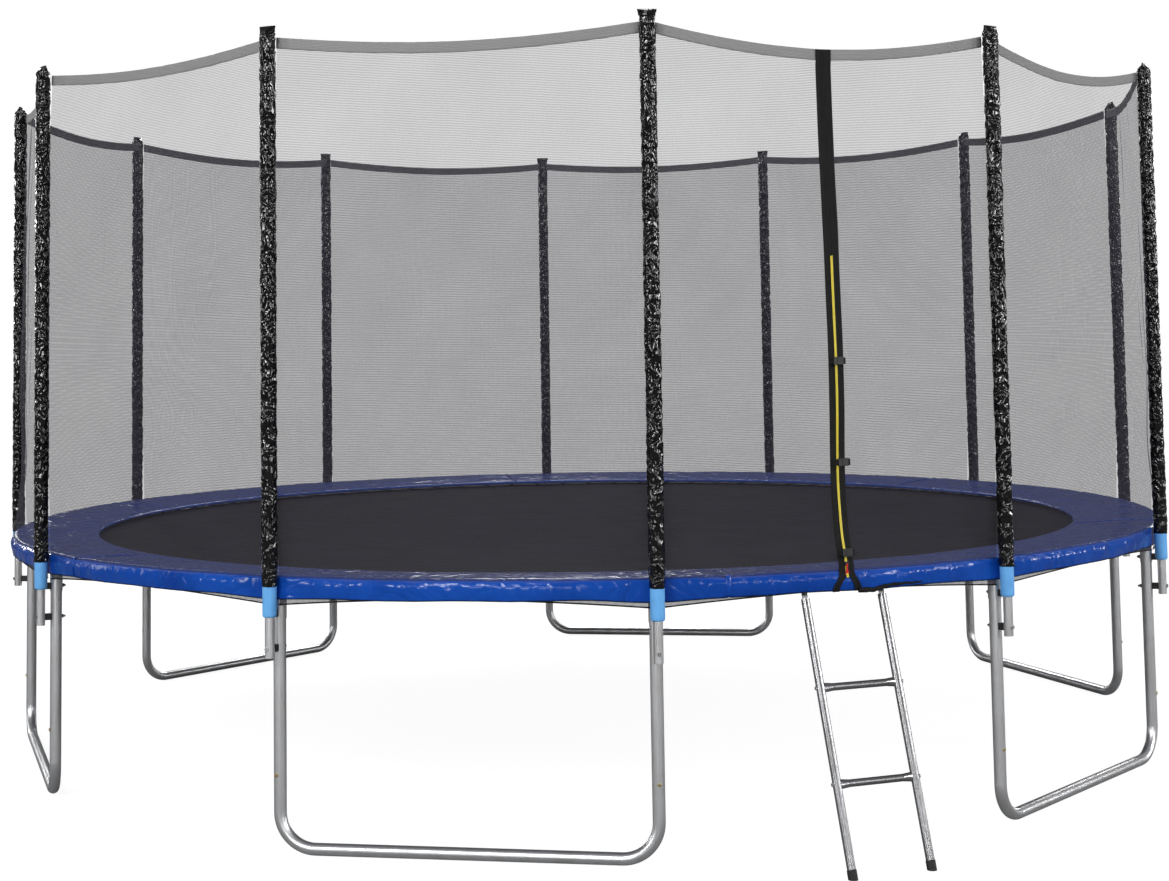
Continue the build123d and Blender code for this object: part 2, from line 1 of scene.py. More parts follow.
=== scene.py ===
import math

import bpy
from mathutils import Matrix, Vector, noise


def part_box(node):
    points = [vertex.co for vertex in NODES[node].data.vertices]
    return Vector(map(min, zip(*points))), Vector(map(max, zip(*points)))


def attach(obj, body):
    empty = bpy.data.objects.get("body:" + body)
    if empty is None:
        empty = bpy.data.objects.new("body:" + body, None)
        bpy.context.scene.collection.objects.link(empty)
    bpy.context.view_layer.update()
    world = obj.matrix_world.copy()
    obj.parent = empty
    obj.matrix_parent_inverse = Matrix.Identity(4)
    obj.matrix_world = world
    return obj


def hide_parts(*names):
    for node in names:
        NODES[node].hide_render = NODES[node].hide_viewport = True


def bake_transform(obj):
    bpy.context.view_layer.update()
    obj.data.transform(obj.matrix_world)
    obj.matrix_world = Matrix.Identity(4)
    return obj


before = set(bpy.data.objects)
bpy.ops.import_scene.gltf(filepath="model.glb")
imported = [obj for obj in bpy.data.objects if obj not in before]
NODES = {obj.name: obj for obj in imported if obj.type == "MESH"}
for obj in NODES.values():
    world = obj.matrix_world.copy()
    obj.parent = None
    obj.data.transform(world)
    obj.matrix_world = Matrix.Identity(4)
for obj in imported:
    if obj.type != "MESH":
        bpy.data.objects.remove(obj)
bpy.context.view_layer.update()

# ------------------------------------------------------------------ sizes of the frame, metres
STATIONS = 12
STEP = 30.0
RAIL_R, RAIL_Z = 2.42, 0.88
TILT = 0.0358
POLE_OFFSET = 0.0585
NET_TO_POLE = 0.0285
POLES = [STEP / 2 + STEP * i for i in range(STATIONS)]
PANELS = [STEP * i for i in range(STATIONS)]

MAT_R, MAT_TOP = 2.18, 0.886
PAD_IN, PAD_OUT = 2.105, 2.446
NET_LOW_R, Z_PAD_EDGE = 2.4467, 0.9375
Z_SKIRT = 0.862
Z_NET_POLE_LOW = 0.834
Z_NET_POLE_TOP = 2.692
HEM_H = 0.036
LEVELS = ("lower", "middle", "upper")
# top of the net half way between two poles, by panel: the door's and the next one hang lowest
TOP_SAG = [0.066, 0.064, 0.040, 0.034, 0.036, 0.032, 0.034, 0.036, 0.032, 0.036, 0.033, 0.037]


def pole_r(z):
    return RAIL_R + TILT * (RAIL_Z - z) + POLE_OFFSET


def corner_r(z):
    # where the net meets a pole
    return pole_r(z) - NET_TO_POLE


def at(r, a, z):
    # a point at radius r, turned a degrees from -Y
    t = math.radians(a)
    return (r * math.sin(t), -r * math.cos(t), z)


def smooth(t):
    t = min(max(t, 0.0), 1.0)
    return t * t * (3 - 2 * t)


def mix(a, b, t):
    return a + (b - a) * t


def wave(x, y, seed, size):
    # smooth noise from -1 to 1
    return noise.noise(Vector((x / size, y / size, 7.3 * seed)))


# ------------------------------------------------------------------ materials
def material(name):
    mat = bpy.data.materials.new(name)
    mat.use_nodes = True
    tree = mat.node_tree
    tree.nodes.clear()
    out = tree.nodes.new("ShaderNodeOutputMaterial")
    shader = tree.nodes.new("ShaderNodeBsdfPrincipled")
    tree.links.new(shader.outputs[0], out.inputs["Surface"])
    return mat, tree, shader


def node(tree, kind, inputs=None, **settings):
    n = tree.nodes.new(kind)
    for k, v in settings.items():
        setattr(n, k, v)
    for k, v in (inputs or {}).items():
        if isinstance(v, bpy.types.NodeSocket):
            tree.links.new(v, n.inputs[k])
        else:
            n.inputs[k].default_value = v
    return n


def cloth_coords(tree):
    # the piece's own lengthways and crossways measure, in metres
    return node(tree, "ShaderNodeAttribute", attribute_name="cloth").outputs["Vector"]


def object_coords(tree, scale=(1, 1, 1)):
    coords = node(tree, "ShaderNodeTexCoord").outputs["Object"]
    return node(tree, "ShaderNodeMapping", {"Vector": coords, "Scale": scale}).outputs[0]


def math_node(tree, operation, a, b=0.5, clamp=False):
    n = tree.nodes.new("ShaderNodeMath")
    n.operation = operation
    n.use_clamp = clamp
    for i, v in enumerate((a, b)):
        if isinstance(v, bpy.types.NodeSocket):
            tree.links.new(v, n.inputs[i])
        else:
            n.inputs[i].default_value = v
    return n.outputs[0]


def weigh(tree, *terms):
    # the sum of values times their weights
    total = None
    for value, weight in terms:
        term = math_node(tree, "MULTIPLY", value, weight)
        total = term if total is None else math_node(tree, "ADD", total, term)
    return total


def ramp(tree, fac, *stops):
    n = node(tree, "ShaderNodeValToRGB", {"Fac": fac})
    while len(n.color_ramp.elements) < len(stops):
        n.color_ramp.elements.new(0.5)
    for e, (p, c) in zip(n.color_ramp.elements, stops):
        e.position = p
        e.color = (*c, 1) if len(c) == 3 else c
    return n.outputs["Color"]


def grey(v):
    return (v, v, v)


def spread(tree, fac, low, high):
    return node(tree, "ShaderNodeMapRange", {"Value": fac, "To Min": low, "To Max": high}).outputs[0]


def noise_tex(tree, vector, scale, detail=4.0, rough=0.55, distortion=0.0):
    return node(
        tree,
        "ShaderNodeTexNoise",
        {"Vector": vector, "Scale": scale, "Detail": detail, "Roughness": rough, "Distortion": distortion},
    ).outputs[0]


def bump(tree, shader, height, distance, strength=1.0, before=None):
    inputs = {"Height": height, "Distance": distance, "Strength": strength}
    if before is not None:
        inputs["Normal"] = before
    n = node(tree, "ShaderNodeBump", inputs)
    tree.links.new(n.outputs[0], shader.inputs["Normal"])
    return n.outputs[0]


def metal(name, dark, light, rough, grain=(9, 9, 9), spangle=0.3):
    # plated steel: soft blotches from the zinc, fine spangle in the gloss
    mat, tree, shader = material(name)
    coords = object_coords(tree, grain)
    blotch = noise_tex(tree, coords, 1.0, 5, 0.6, 0.3)
    fine = noise_tex(tree, object_coords(tree), 160, 3, 0.6)
    tree.links.new(ramp(tree, blotch, (0.3, dark), (0.68, light)), shader.inputs["Base Color"])
    tree.links.new(spread(tree, fine, rough[0], rough[1]), shader.inputs["Roughness"])
    shader.inputs["Metallic"].default_value = 0.85
    bump(tree, shader, fine, 0.0002, spangle)
    return mat


def plastic(name, color, rough=0.45, grain=600):
    # moulded or painted, with a fine grain in colour and gloss
    mat, tree, shader = material(name)
    fine = noise_tex(tree, object_coords(tree), grain, 2)
    low = tuple(0.75 * c for c in color)
    tree.links.new(ramp(tree, fine, (0.35, low), (0.65, color)), shader.inputs["Base Color"])
    tree.links.new(spread(tree, fine, rough - 0.08, rough + 0.1), shader.inputs["Roughness"])
    bump(tree, shader, fine, 0.0002, 0.6)
    return mat


def coated_cloth(name, deep, pale, rough, crease, amount, gloss=0.5, painted_reflection=None):
    # glossy coated cloth, crumpled in soft facets with sharp creases between them
    # a face that looks up gets a paler painted colour, a painted reflection of the bright room on the gloss
    mat, tree, shader = material(name)
    coords = object_coords(tree)
    big = noise_tex(tree, coords, crease * 0.35, 2, 0.5, 1.2)
    folds = noise_tex(tree, coords, crease, 1.2, 0.5, 1.6)
    sharp = math_node(tree, "ABSOLUTE", math_node(tree, "SUBTRACT", folds, 0.5))
    facets = node(tree, "ShaderNodeTexVoronoi", {"Vector": coords, "Scale": crease * 1.1}).outputs["Distance"]
    weave = noise_tex(tree, coords, 700, 2)
    color = ramp(tree, big, (0.3, deep), (0.72, pale))
    # painted reflection: the colour is mixed towards a paler blue where the face looks up
    if painted_reflection:
        normal = node(tree, "ShaderNodeTexCoord").outputs["Normal"]
        up = node(tree, "ShaderNodeSeparateXYZ", {"Vector": normal}).outputs[2]
        lit_side = math_node(tree, "MULTIPLY", math_node(tree, "SUBTRACT", up, 0.45), 1.7, True)
        mixer = node(tree, "ShaderNodeMixRGB", {"Fac": lit_side, "Color1": color, "Color2": (*painted_reflection, 1)})
        color = mixer.outputs[0]
    tree.links.new(color, shader.inputs["Base Color"])
    tree.links.new(spread(tree, weave, rough[0], rough[1]), shader.inputs["Roughness"])
    first = bump(tree, shader, sharp, amount * 2, 1.0)
    bump(tree, shader, facets, amount * 0.6, 0.8, first)
    shader.inputs["Specular IOR Level"].default_value = gloss
    return mat


def webbing(name, dark, light, rib=0.0022, rough=0.7):
    # tape woven in narrow ribs along its length, with picks across
    mat, tree, shader = material(name)
    coords = cloth_coords(tree)
    part = node(tree, "ShaderNodeSeparateXYZ", {"Vector": coords})
    rows = math_node(tree, "SINE", math_node(tree, "MULTIPLY", part.outputs[1], 2 * math.pi / rib))
    picks = math_node(tree, "SINE", math_node(tree, "MULTIPLY", part.outputs[0], 2 * math.pi / (rib * 0.8)))
    height = math_node(tree, "ADD", rows, math_node(tree, "MULTIPLY", rows, picks))
    level = spread(tree, height, 0.25, 0.75)
    fuzz = noise_tex(tree, coords, 900, 3)
    fac = weigh(tree, (level, 0.6), (fuzz, 0.4))
    tree.links.new(ramp(tree, fac, (0.25, dark), (0.75, light)), shader.inputs["Base Color"])
    shader.inputs["Roughness"].default_value = rough
    shader.inputs["Specular IOR Level"].default_value = 0.2
    bump(tree, shader, height, 0.0003, 0.6)
    return mat


def net_cloth(name, pitch, hole_alpha, thread_alpha, dark, light):
    # knitted mesh: small round holes in offset rows between fine threads
    mat, tree, shader = material(name)
    coords = cloth_coords(tree)
    part = node(tree, "ShaderNodeSeparateXYZ", {"Vector": coords})
    u = math_node(tree, "MULTIPLY", part.outputs[0], 2 * math.pi / pitch)
    v = math_node(tree, "MULTIPLY", part.outputs[1], math.pi / pitch)
    wobble = math_node(tree, "MULTIPLY", noise_tex(tree, coords, 40, 2), 1.2)
    holes = math_node(
        tree,
        "MULTIPLY",
        math_node(tree, "COSINE", math_node(tree, "ADD", u, wobble)),
        math_node(tree, "COSINE", v),
    )
    threads = ramp(tree, math_node(tree, "ABSOLUTE", holes), (0.3, grey(1)), (0.62, grey(0)))
    dense = noise_tex(tree, coords, 3.0, 4, 0.6)
    spot = spread(tree, dense, -0.05, 0.05)
    alpha = math_node(tree, "ADD", spread(tree, threads, hole_alpha, thread_alpha), spot, True)
    tree.links.new(alpha, shader.inputs["Alpha"])
    fuzz = noise_tex(tree, coords, 500, 2)
    tree.links.new(ramp(tree, fuzz, (0.3, dark), (0.7, light)), shader.inputs["Base Color"])
    shader.inputs["Roughness"].default_value = 0.8
    shader.inputs["Specular IOR Level"].default_value = 0.2
    bump(tree, shader, threads, 0.0004, 0.5)
    return mat


def mat_cloth(name):
    # tightly woven bed: plain weave and scuffs
    mat, tree, shader = material(name)
    coords = object_coords(tree)
    part = node(tree, "ShaderNodeSeparateXYZ", {"Vector": coords})
    pitch = 0.004
    x = math_node(tree, "SINE", math_node(tree, "MULTIPLY", part.outputs[0], 2 * math.pi / pitch))
    y = math_node(tree, "SINE", math_node(tree, "MULTIPLY", part.outputs[1], 2 * math.pi / pitch))
    weave = math_node(tree, "MULTIPLY", x, y)
    scuff = noise_tex(tree, coords, 5.0, 6, 0.65)
    grit = noise_tex(tree, coords, 150.0, 3, 0.7)
    fac = weigh(tree, (scuff, 0.45), (grit, 0.4), (weave, 0.07))
    color = ramp(tree, fac, (0.3, grey(0.010)), (0.6, (0.034, 0.032, 0.037)))
    tree.links.new(color, shader.inputs["Base Color"])
    shader.inputs["Roughness"].default_value = 0.8
    shader.inputs["Specular IOR Level"].default_value = 0.08
    bump(tree, shader, weave, 0.0003, 0.4)
    return mat


def foam_skin(name, deep, pale):
    # closed-cell foam, matt with a fine pitted skin
    mat, tree, shader = material(name)
    coords = object_coords(tree)
    cells = node(tree, "ShaderNodeTexVoronoi", {"Vector": coords, "Scale": 420.0}).outputs["Distance"]
    soft = noise_tex(tree, coords, 30, 4)
    fac = weigh(tree, (soft, 0.7), (cells, 0.4))
    tree.links.new(ramp(tree, fac, (0.3, deep), (0.7, pale)), shader.inputs["Base Color"])
    shader.inputs["Roughness"].default_value = 0.65
    bump(tree, shader, cells, 0.0004, 0.5)
    return mat


FINISH = {
    "galvanised_steel": metal(
        "galvanised_steel", grey(0.70), (0.84, 0.85, 0.88), (0.27, 0.38), (14, 14, 5), spangle=0.08
    ),
    "zinc_yellow": metal("zinc_yellow", (0.42, 0.30, 0.12), (0.75, 0.62, 0.35), (0.2, 0.4)),
    "zinc_bright": metal("zinc_bright", grey(0.5), grey(0.78), (0.18, 0.35)),
    "spring_steel": metal("spring_steel", grey(0.42), grey(0.7), (0.22, 0.4)),
    "ladder_chrome": metal(
        "ladder_chrome", grey(0.25), (0.35, 0.35, 0.37), (0.2, 0.28), (6, 6, 6), spangle=0.0
    ),
    "black_plastic": plastic("black_plastic", grey(0.018)),
    "black_metal": plastic("black_metal", grey(0.02), 0.3),
    "black_rubber": plastic("black_rubber", grey(0.014), 0.65, 300),
    "red_tape": plastic("red_tape", (0.62, 0.012, 0.02), 0.4),
    "yellow_zip": plastic("yellow_zip", (0.88, 0.72, 0.05), 0.4),
    "blue_foam": foam_skin("blue_foam", (0.12, 0.39, 0.86), (0.16, 0.50, 0.97)),
    "black_pvc": coated_cloth("black_pvc", grey(0.002), grey(0.005), (0.04, 0.08), 15.0, 0.0068),
    "blue_pvc": coated_cloth(
        "blue_pvc",
        (0.003, 0.048, 0.32),
        (0.007, 0.082, 0.47),
        (0.13, 0.24),
        crease=7.0,
        amount=0.006,
        gloss=0.28,
        # paler blue painted on faces that look up, a painted reflection of the bright room
        painted_reflection=(0.085, 0.125, 0.42),
    ),
    "mat_fabric": mat_cloth("mat_fabric"),
    "webbing": webbing("webbing", grey(0.004), grey(0.022)),
    "grey_webbing": webbing("grey_webbing", grey(0.24), grey(0.40), 0.005),
    "net": net_cloth("net", 0.0055, 0.16, 0.60, (0.026, 0.024, 0.036), (0.050, 0.046, 0.066)),
    "net_hem": net_cloth("net_hem", 0.005, 0.25, 0.65, (0.13, 0.13, 0.14), (0.22, 0.215, 0.225)),
}


# ------------------------------------------------------------------ mesh makers
def grid_piece(name, rows, coords, slot, mat=None, loop=False, body="frame", thick=0.0):
    # a skin over rows of points; loop joins each row's ends
    n = len(rows[0])
    verts = [p for row in rows for p in row]
    cloth = [c for row in coords for c in row]
    faces = []
    for j in range(len(rows) - 1):
        for i in range(n if loop else n - 1):
            k = (i + 1) % n
            faces.append((j * n + i, j * n + k, (j + 1) * n + k, (j + 1) * n + i))
    return mesh_piece(name, verts, faces, slot, mat, body, cloth, thick)


def mesh_piece(name, verts, faces, slot, mat=None, body="frame", cloth=None, thick=0.0, smooth_shade=True):
    # cloth holds each point's own measure on the flat cloth, for the weave
    mesh = bpy.data.meshes.new(name)
    mesh.from_pydata(verts, [], faces)
    if cloth:
        attribute = mesh.attributes.new("cloth", "FLOAT_VECTOR", "POINT")
        attribute.data.foreach_set("vector", [x for c in cloth for x in (c[0], c[1], 0.0)])
    if smooth_shade:
        mesh.polygons.foreach_set("use_smooth", [True] * len(mesh.polygons))
    mesh.materials.append(FINISH[mat or slot])
    mesh.update()
    obj = bpy.data.objects.new(name, mesh)
    bpy.context.scene.collection.objects.link(obj)
    if thick:
        mod = obj.modifiers.new("thick", "SOLIDIFY")
        mod.thickness, mod.offset = thick, 0.0
    if body:
        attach(obj, body)
    return obj


def tube(path, radius, sides=6):
    # verts and faces of a tube following points, with closed ends
    pts = [Vector(p) for p in path]
    verts, faces = [], []
    side = None
    for i, p in enumerate(pts):
        d = (pts[min(i + 1, len(pts) - 1)] - pts[max(i - 1, 0)]).normalized()
        if side is None:
            side = d.orthogonal().normalized()
        side = (side - d * side.dot(d)).normalized()
        up = d.cross(side)
        for k in range(sides):
            t = 2 * math.pi * k / sides
            verts.append(tuple(p + radius * (math.cos(t) * side + math.sin(t) * up)))
    for i in range(len(pts) - 1):
        for k in range(sides):
            m = (k + 1) % sides
            faces.append((i * sides + k, i * sides + m, (i + 1) * sides + m, (i + 1) * sides + k))
    faces.append(tuple(range(sides))[::-1])
    faces.append(tuple((len(pts) - 1) * sides + k for k in range(sides)))
    return verts, faces


def tube_cloth(verts, sides, across, along):
    # the measure round and along a tube's points
    return [(across * (n % sides), along * (n // sides)) for n in range(len(verts))]


def gather(parts):
    # several verts and faces as one
    verts, faces = [], []
    for v, f in parts:
        n = len(verts)
        verts += v
        faces += [tuple(i + n for i in face) for face in f]
    return verts, faces


# ------------------------------------------------------------------ CAD nodes that stay, with real finishes
CLIPS = [f"buckle_clip_{level}" for level in LEVELS]
KEPT = {
    "galvanised_steel": ["rail_tees", "leg_uprights", "pole_lower_tubes", "pole_upper_tubes"]
    + [f"top_rail_{i:02d}" for i in range(1, 13)]
    + [f"leg_base_{i}" for i in range(1, 7)],
    "zinc_yellow": ["leg_joint_screws"],
    "zinc_bright": ["pole_bolts", "pole_nuts", "ladder_bolts"],
    "black_plastic": ["pole_end_caps", "pole_spacers", "buckle_sockets"] + CLIPS,
    "black_metal": ["zip_slider"],
    "red_tape": ["zip_pull"],
    "ladder_chrome": [
        "ladder_hooks",
        "ladder_rail_left",
        "ladder_rail_right",
        "ladder_rung_lower",
        "ladder_rung_upper",
    ],
    "black_rubber": ["ladder_feet"],
}
for slot_name, names in KEPT.items():
    for name in names:
        NODES[name].data.materials.clear()
        NODES[name].data.materials.append(FINISH[slot_name])
for name in ["zip_slider", "zip_pull", "buckle_sockets"] + CLIPS:
    mod = NODES[name].modifiers.new("edges", "BEVEL")
    mod.width, mod.segments, mod.limit_method = 0.0006, 2, "ANGLE"

# ------------------------------------------------------------------ foam tubes
FOAM_LOW, FOAM_TOP = 0.7965, 2.689
FOAM_AROUND = 36


def beside_pole(a, x, y, z):
    # a point by the pole at a degrees: x sideways and y inward from its axis
    return tuple(Matrix.Rotation(math.radians(a), 3, "Z") @ Vector((x, -pole_r(z) + y, z)))


def foam_profile():
    # radius and height up the skin, from the rounded foot to the top
    foot = [(0.0166, 0.004), (0.0185, 0.0), (0.0212, 0.0012), (0.0232, 0.006)]
    foot = [(r, FOAM_LOW + h) for r, h in foot]
    side = [(0.0236, FOAM_LOW + 0.012 + (FOAM_TOP - FOAM_LOW - 0.016) * k / 60) for k in range(61)]
    return foot + side + [(0.0225, FOAM_TOP), (0.0166, FOAM_TOP)]


def foam_tube(i, a):
    rows, cloth = [], []
    for r, z in foam_profile():
        row, c = [], []
        for k in range(FOAM_AROUND):
            t = 2 * math.pi * k / FOAM_AROUND
            dent = 0.0005 * wave(a + 3 * math.cos(t), z * 8 + 2 * math.sin(t), 3 + i, 2.0) * (r > 0.02)
            row.append(beside_pole(a, (r + dent) * math.cos(t), (r + dent) * math.sin(t), z))
            c.append((r * t, z))
        rows.append(row)
        cloth.append(c)
    foam = grid_piece(f"pole_foam_{i + 1:02d}", rows, cloth, "blue_foam", loop=True)
    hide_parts("pole_foam")


for i, a in enumerate(POLES):
    foam_tube(i, a)

# ------------------------------------------------------------------ crumpled sleeves
SLEEVE_LOW, SLEEVE_TOP = 0.900, 2.726
SLEEVE_ROWS, SLEEVE_AROUND = 300, 44
SLEEVE_R, SLEEVE_R_LEAST = 0.0278, 0.0245
CLOTH_R = 0.026
FLAT_FROM, FLAT_HEIGHT = 2.700, 0.026


def sleeve_radius(i, t, z):
    # wrapped cloth: long folds up the pole, sharp creases across it, small puckers
    lean = 0.9 if i % 2 else -0.7
    q = Vector((math.cos(t), math.sin(t), 0)) * CLOTH_R
    p = Vector((q.x, q.y, z + lean * 0.02 * math.sin(t + 1.3 * i)))
    fold = noise.noise(Vector((p.x * 55, p.y * 55, p.z * 9 + 13 * i)))
    crease = abs(noise.noise(Vector((p.x * 38 + p.z * 16, p.y * 38, p.z * 19 + 5 * i))))
    pucker = abs(noise.noise(Vector((p.x * 52 - p.z * 30, p.y * 52, p.z * 38 + 9 * i))))
    return max(SLEEVE_R + 0.0014 * fold - 0.0085 * crease - 0.0040 * pucker, SLEEVE_R_LEAST)


def sleeve(i, a):
    rows, cloth = [], []
    low = SLEEVE_LOW + 0.004 * noise.noise(Vector((i * 3.1, 0.5, 0)))
    for j in range(SLEEVE_ROWS + 1):
        z = mix(low, SLEEVE_TOP, j / SLEEVE_ROWS)
        # pinched flat above the cap
        flat = smooth((z - FLAT_FROM) / FLAT_HEIGHT)
        row, c = [], []
        for k in range(SLEEVE_AROUND):
            t = 2 * math.pi * k / SLEEVE_AROUND
            r = sleeve_radius(i, t, z)
            x = mix(r * math.cos(t), 0.031 * math.cos(t), flat)
            y = mix(r * math.sin(t), 0.0035 * math.sin(t), flat)
            row.append(beside_pole(a, x, y, z))
            c.append((CLOTH_R * t, z))
        rows.append(row)
        cloth.append(c)
    obj = grid_piece(f"pole_sleeve_{i + 1:02d}", rows, cloth, "black_pvc", loop=True, thick=0.0006)
    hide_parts("pole_sleeves")


for i, a in enumerate(POLES):
    sleeve(i, a)

# ------------------------------------------------------------------ the pad, in sewn sections with a skirt
SECTION = 60
SEAMS = [-9.5 + SECTION * k for k in range(6)]
SEAM_GAP = 0.06
PAD_ROWS = 300
SKIRT_R, SKIRT_TOP, SKIRT_DROP = 2.4482, 0.934, 0.074
TOP_FROM, TOP_TO = PAD_IN + 0.004, PAD_OUT - 0.010


def turn_to(a, places):
    # degrees from a to the nearest of the places
    return min(abs((a - p + 180) % 360 - 180) for p in places)


def skirt_r(a, z):
    # the skirt ripples out between the poles and lies flat behind them
    t = math.radians(a)
    x, y = 40 * math.sin(t), 40 * math.cos(t)
    near_pole = 1 - smooth(turn_to(a, POLES) / 5.0)
    loose = (1 - near_pole) * smooth((SKIRT_TOP - z) / 0.03)
    fine = abs(noise.noise(Vector((x * 2.6, y * 2.6, z * 16 + 4))))
    ripple = noise.noise(Vector((x, y, z * 6))) * 0.6 + fine * 0.8
    belly = math.sin(math.pi * min(max((SKIRT_TOP - z) / SKIRT_DROP, 0), 1))
    return SKIRT_R + loose * (0.003 + 0.006 * ripple + 0.005 * belly)


def skirt_low(a):
    # lower edge of the skirt: it dips at each pole and wanders a little between
    t = math.radians(a)
    dip = 0.009 * (1 - smooth(turn_to(a, POLES) / 6.0))
    return Z_SKIRT - dip + 0.004 * noise.noise(Vector((9 * math.sin(t), 9 * math.cos(t), 2.2)))


def pad_top(r, a):
    # height of the stuffed top, crowned between its edges and pulled in at the seams
    t = math.radians(a)
    s = (r - PAD_IN) / (PAD_OUT - PAD_IN)
    crown = 0.912 + 0.0205 * s + 0.004 * math.sin(math.pi * s)
    x, y = 2.3 * math.sin(t), 2.3 * math.cos(t)
    pucker = abs(noise.noise(Vector((x * 22, y * 22, 1.5 * s)))) * 0.0042
    soft = noise.noise(Vector((x * 6, y * 6, 4 * s + 3))) * 0.003
    edge = min(s, 1 - s) * 8
    near_seam = 1 - smooth(turn_to(a, SEAMS) / 1.6)
    return crown + (soft - pucker) * min(1.0, 0.35 + edge) - 0.003 * near_seam


def pad_profile(a):
    # radius and height round a section: inner edge, top, outer edge, skirt down and back up, underside
    inner = [(0.006, 0.8995), (0.0008, 0.9010), (-0.0002, 0.9065), (0.0028, 0.9115)]
    inner = [(PAD_IN + d, z) for d, z in inner]
    radii = [mix(TOP_FROM, TOP_TO, k / 22) for k in range(1, 23)]
    top = [(r, pad_top(r, a)) for r in radii]
    rim = pad_top(TOP_TO, a)
    outer = [(PAD_OUT - 0.004, rim - 0.0015), (PAD_OUT - 0.0005, rim - 0.0060)]
    heights = [mix(0.922, skirt_low(a), k / 12) for k in range(13)]
    skirt = [(skirt_r(a, z), z) for z in heights]
    back = [(r - 0.0012, z) for r, z in skirt[::-1]]
    return inner + top + outer + skirt + back + [(PAD_OUT - 0.003, 0.9075), (PAD_IN + 0.15, 0.9035)]


def pad_section(i, seam):
    rows, cloth = [], []
    for j in range(PAD_ROWS + 1):
        a = seam + SEAM_GAP + (SECTION - 2 * SEAM_GAP) * j / PAD_ROWS
        profile = pad_profile(a)
        length, last, c = 0.0, profile[0], []
        for p in profile:
            length += math.dist(p, last)
            last = p
            c.append((length, math.radians(a) * 2.3))
        rows.append([at(r, a, z) for r, z in profile])
        cloth.append(c)
    pad = grid_piece(f"pad_section_{i + 1}", rows, cloth, "blue_pvc", loop=True)
    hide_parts("safety_pad", "pad_skirt")


def pad_edging(i, seam):
    # binding along the skirt's lower edge
    line = []
    for k in range(301):
        a = seam + 0.1 + 59.8 * k / 300
        line.append(at(skirt_r(a, skirt_low(a)) - 0.0006, a, skirt_low(a) - 0.0008))
    verts, faces = tube(line, 0.0016, 6)
    cloth = tube_cloth(verts, 6, 0.001, 0.03)
    edging = mesh_piece(f"pad_edging_{i + 1}", verts, faces, "webbing", cloth=cloth)
    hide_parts("pad_piping")


def pad_seam(i, seam):
    # overlap strip that stands on the top of the pad and runs down the skirt
    turns = (-0.20, -0.16, 0.16, 0.20)
    rows, cloth = [], []
    for k in range(25):
        r = mix(PAD_IN + 0.004, PAD_OUT - 0.004, k / 24)
        z = pad_top(r, seam) + 0.0022
        bow = 0.35 * math.sin(math.pi * k / 24)
        rows.append([at(r, seam + bow + d, z + h) for d, h in zip(turns, (-0.002, 0.0006, 0.0006, -0.002))])
        cloth.append([(0.008 * n, 0.014 * k) for n in range(4)])
    for k in range(9):
        z = mix(0.93, skirt_low(seam), k / 8)
        r = skirt_r(seam, z)
        rows.append([at(r + h, seam + d, z) for d, h in zip(turns, (0.0, 0.0020, 0.0020, 0.0))])
        cloth.append([(0.008 * n, 0.35 + 0.014 * k) for n in range(4)])
    grid_piece(f"pad_seam_{i + 1}", rows, cloth, "blue_pvc", thick=0.0008)


for i, seam in enumerate(SEAMS):
    pad_section(i, seam)
    pad_edging(i, seam)
    pad_seam(i, seam)

# ------------------------------------------------------------------ springs, rings and the mat in 24 sectors
SECTORS = 24
SECTOR = 15
SPRINGS_EACH = 4
SPRING_STEP = SECTOR / SPRINGS_EACH
SPRING_Z = 0.885
COIL_TURNS, COIL_STEPS, COIL_R, COIL_WIRE = 26, 10, 0.0098, 0.00165
COIL_FROM, COIL_LENGTH = 2.244, 0.116
HOOK_WIRE, EYE_R = 0.00175, 0.0042
TAB_HALF = 0.0105
BORDER_WIDTH = 0.046
ACROSS_SECTOR = 10


def aside(a, x, r, z):
    # a point at radius r on the line at a degrees, x to its side
    t = math.radians(a)
    return (r * math.sin(t) + x * math.cos(t), -r * math.cos(t) + x * math.sin(t), z)


def spring(a):
    # a close coil, a hook into the rail's slot and an eye round the mat's ring
    winding = []
    for k in range(COIL_TURNS * COIL_STEPS + 1):
        t = 2 * math.pi * k / COIL_STEPS
        r = COIL_FROM + COIL_LENGTH * k / (COIL_TURNS * COIL_STEPS)
        winding.append(aside(a, COIL_R * math.cos(t), r, SPRING_Z + COIL_R * math.sin(t)))
    hook = [(2.361, 0.0), (2.372, 0.0), (2.398, 0.0), (2.4045, -0.002), (2.405, -0.008)]
    eye = [(2.243, 0.0), (2.235, 0.001), (2.222, EYE_R)]
    for q in range(0, 140, 25):
        t = math.radians(q)
        eye.append((2.216 - EYE_R * math.sin(t), EYE_R * math.cos(t)))
    ends = [tube([aside(a, 0.0, r, SPRING_Z + h) for r, h in line], HOOK_WIRE, 6) for line in (hook, eye)]
    return [tube(winding, COIL_WIRE, 5)] + ends


def ring_wire(a):
    # the V-shaped ring sewn to the mat
    half = [(0.005, 2.216), (0.0085, 2.2135), (0.0165, 2.192), (0.0155, 2.1885)]
    other = [(-x, r) for x, r in half[::-1]]
    line = [other[-1]] + half + [(0.0, 2.1883)] + other
    return tube([aside(a, x, r, SPRING_Z) for x, r in line], 0.002, 6)


def ring_tab(a):
    # folded webbing that holds a ring to the mat
    over = [(2.150, MAT_TOP + 0.0026), (2.178, MAT_TOP + 0.0030), (2.188, SPRING_Z + 0.0034)]
    fold = [(2.1925, SPRING_Z + 0.0016), (2.1925, SPRING_Z - 0.0016)]
    under = [(2.188, SPRING_Z - 0.0034), (2.178, 0.8828), (2.150, 0.8828)]
    profile = over + fold + under
    verts = [aside(a, x, r, z) for x in (-TAB_HALF, TAB_HALF) for r, z in profile]
    n = len(profile)
    return verts, [(k, k + 1, n + k + 1, n + k) for k in range(n - 1)]


